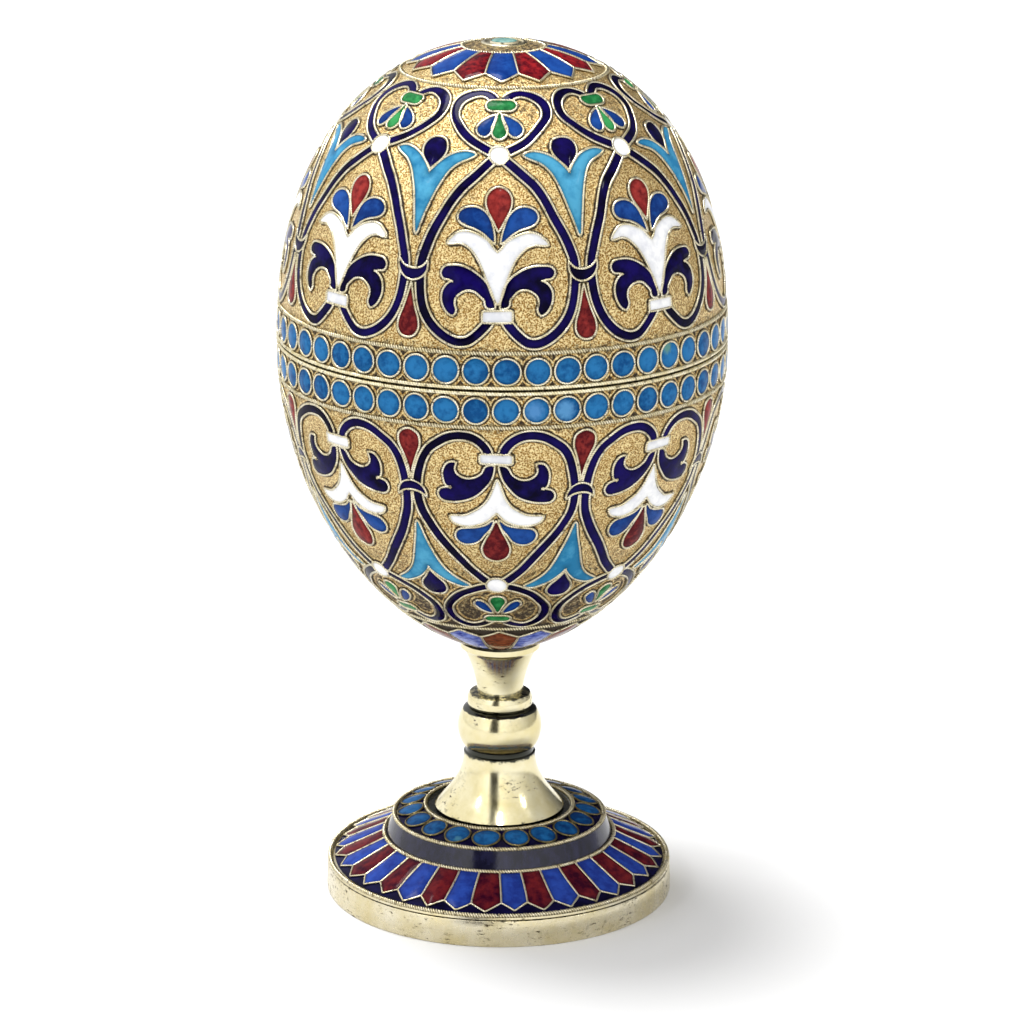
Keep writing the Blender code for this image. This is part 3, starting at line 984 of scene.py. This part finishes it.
rosette = petal_ring(
    up_to_radius(4.6, upper=False),
    up_to_radius(11.8, upper=False),
    up_to_radius(13.3, upper=False),
    ("red", "blue"),
)
rosette_glass, rosette_paths, _ = rosette.lay(REPEATS, 0.0, CLOISON["radius"], seed=21, unsteady=0.3)
rosette_blue = enamel("blue enamel, thin over foil", "#101E7A", "#7C8CCC", 0.9, 0.1, 2.0, unlike=0.4)
rosette_red = enamel("red enamel, thin over foil", "#3A140E", "#804026", 0.8, 0.12, 3.0, unlike=0.4)
piece("bowl_rosette_blue", rosette_glass["blue"], rosette_blue)
piece("bowl_rosette_red", rosette_glass["red"], rosette_red)
twisted("bowl_rosette_wires", rosette_paths, gilt_wire, "bowl_gilt", **CLOISON)

# The bowl's panels, eight round the egg: a strap of cobalt glass that draws a large heart and a small one,
# a palmette on a white spray and two scroll leaves within, and a turquoise tulip between each two panels.
STRAP_HALF = 0.6
HALF_PITCH = math.pi / REPEATS
DOT_RADIUS = 1.25


def panel(
    made, dot, clasp, buckle, knot, straps, spray, scroll,
    leaf, bud, small_bud, small_leaf, flame, tulip, heart,
):
    """Draw one panel. The dot, clasp, buckle and knot are set over the straps. The flame, the tulip and the
    heart in its cup stand between this panel and the next."""
    made.cell("white", disc(0.0, dot, DOT_RADIUS), over=True)
    made.cell("white", bar(*clasp), over=True)
    made.cell("green", bar(*buckle), over=True)
    made.cell("cobalt", symmetric(*knot), HALF_PITCH, over=True)
    for strap in straps:
        made.straps("cobalt", [(0.0, dot), *strap], STRAP_HALF)
    made.cell("white", grown(symmetric(*spray)))
    made.pair("cobalt", grown(closed(*scroll)))
    made.pair("blue", leaf)
    made.cell("red", bud)
    made.cell("green", grown(drop(small_bud)))
    made.pair("blue", grown(closed(small_leaf)))
    made.cell("red", drop(flame), HALF_PITCH)
    made.cell("turquoise", grown(symmetric(*tulip)), HALF_PITCH)
    made.cell("cobalt", drop(heart), HALF_PITCH)


lower = Pattern(egg, LOW_BAND_ROPE, -1)
panel(
    lower,
    dot=23.15,
    clasp=(0.0, 4.05, 4.05, 1.3, 0.45),
    buckle=(0.0, 30.27, 3.3, 1.55),
    knot=(
        [(0.0, 7.5), (1.0, 7.85), (1.65, 8.7), (1.8, 9.7)],
        [(1.8, 9.7), (1.0, 9.05), (0.0, 8.85)],
    ),
    straps=(
        [
            (1.3, 22.3), (2.2, 21.4), (3.3, 20.2), (4.1, 19.1), (5.1, 17.7), (6.1, 16.3), (7.1, 14.9),
            (8.15, 13.2), (8.95, 11.7), (9.4, 10.2), (9.6, 8.5), (9.6, 6.9), (9.4, 5.5), (9.0, 4.1),
            (8.3, 2.95), (7.1, 2.05), (5.7, 1.3), (4.4, 1.05), (3.2, 1.15), (2.2, 1.65), (1.5, 2.3),
            (1.1, 2.9), (0.9, 3.6),
        ],
        [
            (1.85, 23.6), (3.1, 24.2), (4.35, 25.1), (5.3, 26.4), (5.9, 27.75), (5.85, 29.1), (5.3, 30.5),
            (4.3, 31.6), (3.0, 32.1), (2.0, 31.8), (1.25, 31.2), (0.8, 30.6),
        ],
    ),
    spray=(
        [
            (0.0, 6.9), (0.4, 8.1), (0.9, 9.35), (1.7, 10.5), (2.7, 11.3), (3.6, 11.85), (4.6, 12.0),
            (5.5, 12.05),
        ],
        [
            (5.5, 12.05), (5.1, 12.7), (4.3, 13.06), (3.3, 13.15), (2.0, 12.8), (1.05, 12.2), (0.4, 11.45),
            (0.0, 11.05),
        ],
    ),
    scroll=(
        [
            (0.4, 5.0), (1.2, 5.2), (1.7, 6.1), (2.5, 6.7), (3.5, 6.9), (4.4, 6.6), (5.0, 6.0), (5.1, 5.2),
            (4.9, 4.7),
        ],
        [(4.9, 4.7), (5.7, 4.85), (6.2, 5.65), (6.2, 6.8), (5.9, 7.6), (5.2, 7.9)],
        [
            (5.2, 7.9), (5.9, 8.1), (6.7, 8.4), (6.9, 9.0), (6.5, 9.6), (5.2, 9.75), (3.95, 9.5),
            (2.7, 8.9), (1.7, 7.9), (0.9, 6.8), (0.4, 5.0),
        ],
    ),
    leaf=grown(
        closed([
            (0.4, 12.4), (1.2, 13.2), (2.3, 13.6), (3.5, 13.8), (4.3, 14.0), (4.7, 14.7), (4.5, 15.5),
            (3.95, 15.97), (3.0, 16.05), (2.0, 15.5), (1.4, 14.5), (0.7, 13.4), (0.4, 12.4),
        ]),
        0.17,
    ),
    bud=grown(drop([(0.0, 12.6), (0.55, 14.2), (1.15, 15.7), (1.48, 17.0), (1.05, 18.25), (0.0, 18.75)])),
    small_bud=[(0.0, 28.7), (0.45, 27.3), (0.8, 26.2), (0.55, 25.6), (0.0, 25.4)],
    small_leaf=[
        (0.65, 28.75), (1.1, 27.6), (1.75, 26.6), (2.35, 26.3), (2.65, 26.75), (2.2, 27.7), (1.4, 28.4),
        (0.65, 28.75),
    ],
    flame=[(0.0, 7.2), (0.35, 5.4), (0.85, 3.8), (1.35, 2.4), (1.2, 1.2), (0.0, 0.55)],
    tulip=(
        [
            (0.0, 13.3), (0.25, 14.4), (0.45, 15.3), (0.75, 16.4), (1.15, 17.8), (1.6, 19.4), (2.2, 20.9),
            (3.1, 22.1), (4.6, 23.3),
        ],
        [(4.6, 23.3), (3.6, 23.45), (2.75, 23.1), (1.9, 22.6), (1.05, 21.8), (0.4, 21.0), (0.0, 20.3)],
    ),
    heart=[(0.0, 21.0), (0.7, 22.2), (1.5, 23.4), (1.6, 24.5), (1.0, 25.35), (0.0, 25.6)],
)
lower_glass, lower_paths, lower_seams = lower.lay(REPEATS, PANEL_AXIS, CLOISON["radius"], seed=31)

chipped_leaf = [((-4.6, -24.3, 91.4), 0.55, "#A39A6A")]
enamels = {
    "cobalt": enamel("cobalt enamel, almost opaque", "#05021C", "#140B50", 2.0, 0.1),
    "blue": enamel("mid blue enamel of the leaves", "#0F2D68", "#1E488E", 1.2, 0.14, spots=chipped_leaf),
    "turquoise": enamel("turquoise enamel, slightly clouded", "#266F98", "#4A96B8", 1.6, 0.14),
    "white": enamel("white enamel, opaque", "#D4D5DA", "#EFEFEE", 1.2, 0.18, depth=0.25),
    "red": enamel("red enamel over gilt", "#4C1218", "#8E302C", 0.8),
    "green": enamel("green enamel", "#185C30", "#388E50", 1.1),
}
for glass, shape in lower_glass.items():
    piece("bowl_" + glass + "_enamel", shape, enamels[glass])
twisted("bowl_cloisons", lower_paths, gilt_wire, "bowl_gilt", **CLOISON)

# The bowl's band and ropes: forty-eight discs of mid blue glass between two ropes of twisted wire. Each
# disc was filled and fired on its own, so that no two are quite the same blue.
BAND_DISCS = 48
BOWL_BAND_HEIGHT = 70.03
BAND_AXIS = math.radians(1.3)
BAND_DISC_RADIUS = 1.6
RIM_ROPE_IN = 0.2


def band(height, seed):
    """A row of discs round the egg at a height: their glass, wires and solder."""
    made = Pattern(egg, up_to_height(height))
    made.cell("blue", disc(0.0, 0.0, BAND_DISC_RADIUS, 28))
    return made.lay(BAND_DISCS, BAND_AXIS, FINE["radius"], seed, unsteady=0.6)


def egg_rope(along, rope=ROPE):
    """A path round the egg for a rope whose top is level with the relief."""
    at = egg.at(np.array([0.0]), np.array([along]), -rope["radius"] - UNDER_OUTLINE)[0] / MM
    return ring(-at[1], at[2], 260)


bowl_band_glass, bowl_band_paths, bowl_band_seams = band(BOWL_BAND_HEIGHT, seed=41)
band_stains = [
    ((19.7, -19.6, 75.9), 0.9, "#56847E"),
    ((7.5, -26.8, 70.0), 1.4, "#4F86B4"),
    ((3.9, -27.6, 70.0), 1.3, "#4A7FB2"),
]
band_blue = enamel("blue enamel of the bands", "#0E4478", "#266CA2", 0.9, roughness=0.16, spots=band_stains)
piece("bowl_band_discs", bowl_band_glass["blue"], band_blue)
twisted("bowl_band_wires", bowl_band_paths, gilt_wire, "bowl_gilt", **FINE)
bowl_ropes = [egg_rope(ROSETTE_ROPE), egg_rope(LOW_BAND_ROPE)]
twisted("bowl_ropes", bowl_ropes, gilt_rope, "bowl_gilt", **ROPE)
bowl_rim_rope = [egg_rope(bowl_end - RIM_ROPE_IN, RIM_ROPE)]
twisted("bowl_rim_rope", bowl_rim_rope, gilt_rope, "bowl_gilt", **RIM_ROPE)
piece("bowl_solder", joined(lower_seams + bowl_band_seams), gilt_ground)

# The lid's shell: the upper half of the egg, made as the bowl is. It has no hinge and lifts off the bowl's
# lip.
HIGH_BAND_ROPE = up_to_height(76.94)
CROWN_ROPE = up_to_radius(12.68, upper=True)
lid_start = up_to_height(LID_RIM)
skin_end = float(egg.along[-1])
lid_inner = section(skin_end, lid_start, 28, RELIEF + EGG_WALL)
lid_inner[0] = (0.0, lid_inner[0][1])
lid_inner[-1] = (lid_inner[-1][0], LID_RIM)
lid_outer = section(lid_start, skin_end, EGG_ROWS, RELIEF)
lid_outer[0] = (lid_outer[0][0], LID_RIM)
lid_outer[-1] = (0.0, lid_outer[-1][1])
lid_shape = turned(
    lid_inner + lid_outer,
    EGG_SEGMENTS,
    dirt=[0.0] * (len(lid_inner) - 1) + [GAP_PAINTED_SHADE] * 2 + soil(lid_start, skin_end)[1:],
    matted=[0.0] * len(lid_inner) + [1.0] * len(lid_outer),
)
piece("lid_shell", lid_shape, gilt_ground, ["lid"])

# The lid's band and panels, which answer the bowl's: the same hearts, palmette, scrolls and tulips, the
# other way up and a little finer.
LID_BAND_HEIGHT = 74.8
upper = Pattern(egg, HIGH_BAND_ROPE)
panel(
    upper,
    dot=23.75,
    clasp=(0.0, 4.33, 3.65, 1.45, 0.4),
    buckle=(0.1, 30.8, 3.55, 1.75),
    knot=(
        [(0.0, 8.15), (1.1, 8.55), (1.8, 9.55), (1.8, 10.65)],
        [(1.8, 10.65), (1.05, 9.85), (0.0, 9.6)],
    ),
    straps=(
        [
            (1.6, 22.3), (2.9, 21.0), (4.1, 19.8), (5.4, 18.0), (6.55, 16.0), (7.7, 14.0), (8.6, 12.0),
            (9.15, 10.5), (9.35, 8.5), (9.3, 7.0), (9.05, 5.5), (8.4, 3.9), (7.3, 2.5), (6.1, 1.6),
            (4.8, 1.15), (3.6, 1.3), (2.6, 2.0), (1.7, 2.9), (1.2, 3.5), (0.9, 4.1),
        ],
        [
            (1.0, 24.2), (2.1, 24.8), (3.3, 25.6), (4.25, 26.6), (4.95, 27.7), (5.45, 28.8), (5.4, 30.0),
            (4.9, 31.15), (4.1, 32.0), (3.1, 32.6), (2.1, 32.75), (1.3, 32.4), (0.75, 31.8), (0.6, 31.2),
        ],
    ),
    spray=(
        [
            (0.0, 11.8), (0.4, 12.1), (1.2, 13.1), (2.0, 13.6), (3.0, 14.0), (3.95, 14.1), (4.6, 13.9),
            (5.25, 13.4), (5.85, 12.8),
        ],
        [
            (5.85, 12.8), (5.2, 12.9), (4.4, 13.0), (3.6, 12.75), (2.8, 12.1), (2.0, 11.0), (1.4, 9.7),
            (0.9, 8.4), (0.5, 7.1), (0.0, 5.9),
        ],
    ),
    scroll=(
        [
            (0.4, 5.4), (0.65, 6.6), (1.05, 7.75), (1.7, 8.7), (2.5, 9.35), (3.5, 9.9), (4.4, 10.15),
            (5.4, 10.15), (6.2, 10.0), (6.6, 9.45), (6.4, 8.95), (5.7, 8.85), (5.0, 8.5),
        ],
        [(5.0, 8.5), (5.9, 8.0), (6.4, 7.25), (6.5, 6.3), (6.3, 5.5), (5.9, 4.85), (5.4, 4.5)],
        [
            (5.4, 4.5), (5.1, 5.0), (5.25, 5.8), (5.1, 6.6), (4.4, 7.3), (3.5, 7.65), (2.5, 7.5),
            (1.8, 6.9), (1.3, 6.3), (1.2, 5.6), (0.4, 5.4),
        ],
    ),
    leaf=closed([
        (0.3, 12.9), (0.45, 14.1), (0.75, 15.2), (1.05, 16.0), (1.7, 16.8), (2.6, 17.25), (3.6, 17.2),
        (4.4, 16.7), (4.7, 15.9), (4.35, 15.2), (3.7, 14.85), (2.7, 14.55), (1.7, 14.0), (0.9, 13.3),
        (0.3, 12.9),
    ]),
    bud=drop([
        (0.0, 14.3), (0.35, 14.9), (0.7, 15.6), (1.15, 16.4), (1.5, 17.3), (1.55, 18.2), (1.05, 19.2),
        (0.0, 19.65),
    ]),
    small_bud=[(0.0, 29.65), (0.3, 28.6), (0.73, 27.1), (0.5, 26.35), (0.0, 26.1)],
    small_leaf=[
        (0.4, 29.3), (1.2, 28.85), (2.2, 28.0), (2.6, 27.2), (2.4, 26.6), (1.85, 26.35), (1.2, 26.9),
        (0.8, 27.9), (0.4, 29.3),
    ],
    flame=[(0.0, 8.0), (0.35, 6.6), (0.8, 5.0), (1.3, 3.6), (1.35, 2.5), (0.9, 1.75), (0.0, 1.45)],
    tulip=(
        [
            (0.0, 13.7), (0.25, 15.0), (0.45, 16.0), (0.7, 17.05), (1.05, 18.5), (1.55, 20.1), (2.2, 21.6),
            (3.15, 22.7), (4.25, 23.3), (5.0, 23.75),
        ],
        [(5.0, 23.75), (4.0, 24.05), (2.85, 23.85), (1.95, 23.4), (1.1, 22.6), (0.4, 21.8), (0.0, 21.0)],
    ),
    heart=[(0.0, 21.4), (0.75, 22.5), (1.45, 23.6), (1.55, 24.6), (1.05, 25.6), (0.0, 25.95)],
)
upper_glass, upper_paths, upper_seams = upper.lay(REPEATS, PANEL_AXIS, CLOISON["radius"], seed=51)
for glass, shape in upper_glass.items():
    piece("lid_" + glass + "_enamel", shape, enamels[glass])
twisted("lid_cloisons", upper_paths, gilt_wire, "lid_gilt", **CLOISON)
lid_band_glass, lid_band_paths, lid_band_seams = band(LID_BAND_HEIGHT, seed=61)
piece("lid_band_discs", lid_band_glass["blue"], band_blue)
twisted("lid_band_wires", lid_band_paths, gilt_wire, "lid_gilt", **FINE)
piece("lid_solder", joined(upper_seams + lid_band_seams), gilt_ground)

# The crown: sixteen pointed petals of blue and red glass round a matted ring, and on it a small collet that
# holds a button of pale turquoise glass.
CROWN_INNER = up_to_radius(5.1, upper=True)
COLLET_RADIUS = 2.81
BUTTON_RADIUS = 1.62
LID_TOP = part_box("lid")[1].z / MM
crown = petal_ring(
    CROWN_INNER,
    up_to_radius(10.35, upper=True),
    up_to_radius(11.85, upper=True),
    ("blue", "red"),
    math.radians(2.2),
)
crown_glass, crown_paths, _ = crown.lay(REPEATS, PANEL_AXIS, CLOISON["radius"], seed=71, unsteady=0.3)
crown_blue = enamel("blue enamel of the crown", "#0E2C6C", "#1C448A", 1.5, roughness=0.12, unlike=0.5)
crown_red = enamel("red enamel of the crown, over foil", "#380A16", "#8A1E22", 0.7, roughness=0.1, unlike=0.4)
piece("lid_crown_blue", crown_glass["blue"], crown_blue)
piece("lid_crown_red", crown_glass["red"], crown_red)
twisted("lid_crown_wires", crown_paths, gilt_wire, "lid_gilt", **CLOISON)
lid_ropes = [egg_rope(HIGH_BAND_ROPE), egg_rope(CROWN_ROPE), egg_rope(CROWN_INNER)]
twisted("lid_ropes", lid_ropes, gilt_rope, "lid_gilt", **ROPE)
lid_rim_rope = [egg_rope(lid_start + RIM_ROPE_IN, RIM_ROPE)]
twisted("lid_rim_rope", lid_rim_rope, gilt_rope, "lid_gilt", **RIM_ROPE)
ground_top = lid_outer[-1][1]
collet = [
    (0.0, ground_top - 0.2),
    (COLLET_RADIUS, ground_top - 0.2),
    (COLLET_RADIUS, ground_top + 0.1),
    (COLLET_RADIUS - 0.15, ground_top + 0.22),
    (COLLET_RADIUS - 0.45, ground_top + 0.22),
    (COLLET_RADIUS - 0.6, ground_top + 0.08),
    (BUTTON_RADIUS + 0.2, ground_top + 0.1),
    (BUTTON_RADIUS + 0.12, ground_top + 0.32),
    (BUTTON_RADIUS, ground_top + 0.32),
    (BUTTON_RADIUS - 0.1, ground_top + 0.2),
    (0.0, ground_top + 0.2),
]
# The collet's steps and crevices are painted darker.
collet_dirt = [0.3, 0.3, 0.3, 0.0, 0.0, 0.4, 0.4, 0.0, 0.0, 0.2, 0.2]
piece("lid_collet", turned(collet, 72, dirt=collet_dirt), gilt_rim)
BUTTON_BASE = ground_top + 0.25
button_profile = [(0.0, ground_top + 0.1)]
for k in range(9):
    lean = math.radians(90) * k / 8
    radius = (BUTTON_RADIUS - 0.06) * (math.cos(lean) if k < 8 else 0.0)
    button_profile.append((radius, BUTTON_BASE + (LID_TOP - ground_top - 0.25) * math.sin(lean)))
button_shape = turned(button_profile, 48)
button_shape[2].update(shade=[0.5] * len(button_shape[0]), wall=[0.0] * len(button_shape[0]))
button_glass = enamel("pale turquoise enamel of the button", "#4C7A74", "#84A6A0", 0.8, roughness=0.15)
piece("lid_button", button_shape, button_glass)

# The stage: a pale sweep of paper under a wide soft light from overhead, a little to the left, and three
# small lamps that give the polished stem its sharp glints.
FLOOR_REACH = 3.0
floor_corners = [(x * FLOOR_REACH, y * FLOOR_REACH, 0.0) for x, y in ((-1, -1), (1, -1), (1, 1), (-1, 1))]
floor_mesh = bpy.data.meshes.new("floor")
floor_mesh.from_pydata(floor_corners, [], [(0, 1, 2, 3)])
floor = put("floor", floor_mesh)
paper, _, paper_shader, _ = new_material("white paper")
feed(paper_shader, {"Base Color": srgb("#D6D6D6"), "Roughness": 0.9})
floor_mesh.materials.append(paper)

for name, energy, degrees, way in (
    ("overhead light", 3.1, 24, (-0.2, 0.2, 1.0)),
    ("small lamp 0", 0.2, 2.5, (0.03, -0.5, 1.0)),
    ("small lamp 1", 0.2, 2.5, (-0.75, -0.5, 0.9)),
    ("small lamp 2", 0.15, 2.5, (0.8, -0.35, 0.8)),
):
    lamp = bpy.data.lights.new(name, "SUN")
    lamp.energy = energy
    lamp.angle = math.radians(degrees)
    put(name, lamp).rotation_euler = Vector(way).to_track_quat("Z", "Y").to_euler()

# The room: two banks of light, left and right of the camera, with a dark gap between them that the stem
# mirrors as a stripe. Each is brighter beside the gap, and fades towards the floor. Angles are in radians
# from straight ahead.
GAP_CENTRE = math.radians(-15)
GAP_HALF = math.radians(10)
LEFT_BANK = 1.25
RIGHT_BANK = 0.9
ROOM_LIGHT = 0.06
world = bpy.data.worlds.new("studio")
bpy.context.scene.world = world
world.use_nodes = True
sky = world.node_tree
sky.nodes.clear()
direction = add(sky, "ShaderNodeTexCoord").outputs["Generated"]
split = add(sky, "ShaderNodeSeparateXYZ", {0: direction}).outputs
heading = calc("ARCTAN2", split["X"], times(split["Y"], -1.0))
from_gap = calc("ADD", heading, -GAP_CENTRE)
left_bank = times(between(from_gap, -GAP_HALF, -1.4 * GAP_HALF), between(from_gap, -3.0, -2.3))
right_bank = times(between(from_gap, GAP_HALF, 1.4 * GAP_HALF), between(from_gap, 3.0, 2.2))
right_bank = times(right_bank, between(from_gap, 1.1, 1.9, 1.3, 0.7))
light = calc("MULTIPLY_ADD", left_bank, LEFT_BANK, ROOM_LIGHT)
light = calc("MULTIPLY_ADD", right_bank, RIGHT_BANK, light)
light = times(light, between(calc("ABSOLUTE", from_gap), 0.25, 0.9, 1.35, 1.0))
raised = between(split["Z"], 0.0, 0.12)
light = times(light, between(raised, 0.0, 1.0, 0.8, 1.0))
lit = add(sky, "ShaderNodeBackground", {"Color": srgb("#FFFFFF"), "Strength": light})
add(sky, "ShaderNodeOutputWorld", {0: lit.outputs[0]})

bpy.context.scene.view_settings.view_transform = "Standard"

# The camera stands as the photographer's did: long lens, a little above the egg, looking slightly down.
camera_data = bpy.data.cameras.new("camera")
camera_data.lens = 146.75
camera_data.sensor_width = 36.0
camera_data.clip_start = 0.01
camera = put("camera", camera_data)
camera.location = (1.36 * MM, -500.0 * MM, 198.1 * MM)
camera.rotation_mode = "ZXY"
camera.rotation_euler = (math.radians(73.45), 0.0, math.radians(0.42))
bpy.context.scene.camera = camera
